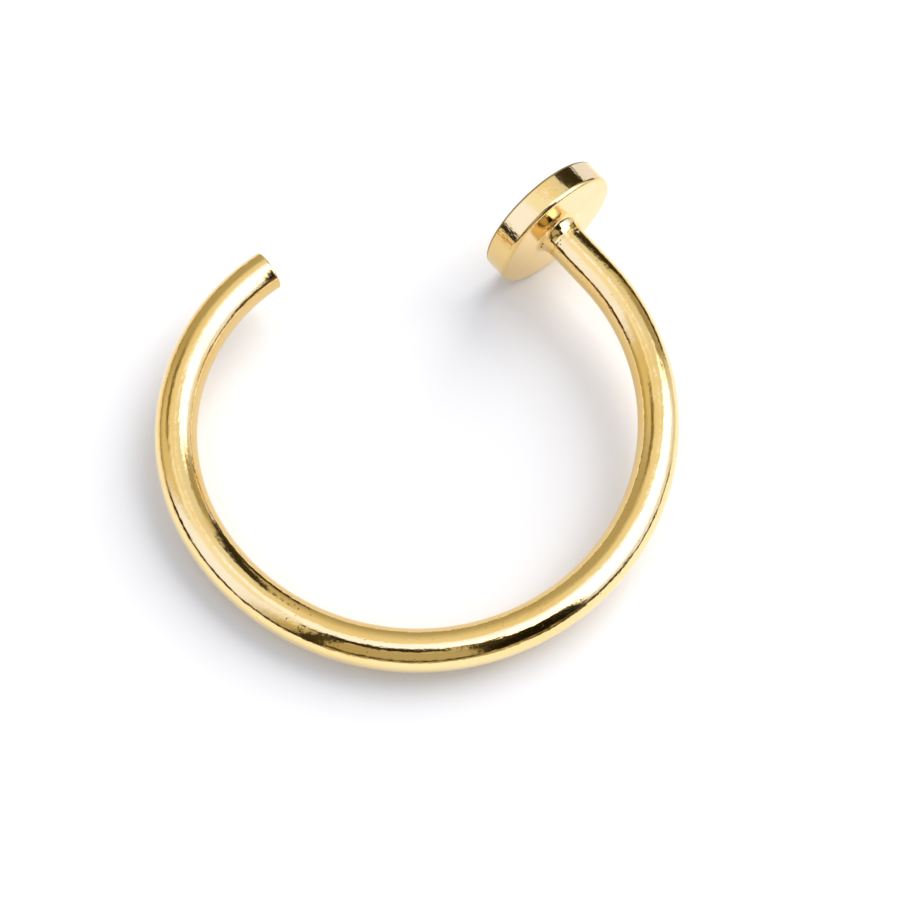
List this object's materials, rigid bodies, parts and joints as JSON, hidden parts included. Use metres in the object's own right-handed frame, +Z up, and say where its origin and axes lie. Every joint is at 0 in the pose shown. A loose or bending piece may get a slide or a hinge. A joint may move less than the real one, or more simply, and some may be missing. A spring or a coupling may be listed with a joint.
{
  "type": "nose ring",
  "caption": "Open hoop nose ring of polished round gold wire, cut square at its free end, with a small flat disc soldered across the other end.",
  "frame": {"origin": "on the surface that the ring lies on, under the middle of the ring's box", "axes": "+Z up from that surface, square to it; +Y across the ring towards the side where it is open, with the disc on the +X side of the opening and the free end on the -X side"},
  "size_m": [0.01, 0.0106, 0.0028],
  "materials": {
    "gold": "polished yellow gold"
  },
  "bodies": {
    "root": {"nose_hoop": "gold"}
  },
  "joints": []
}
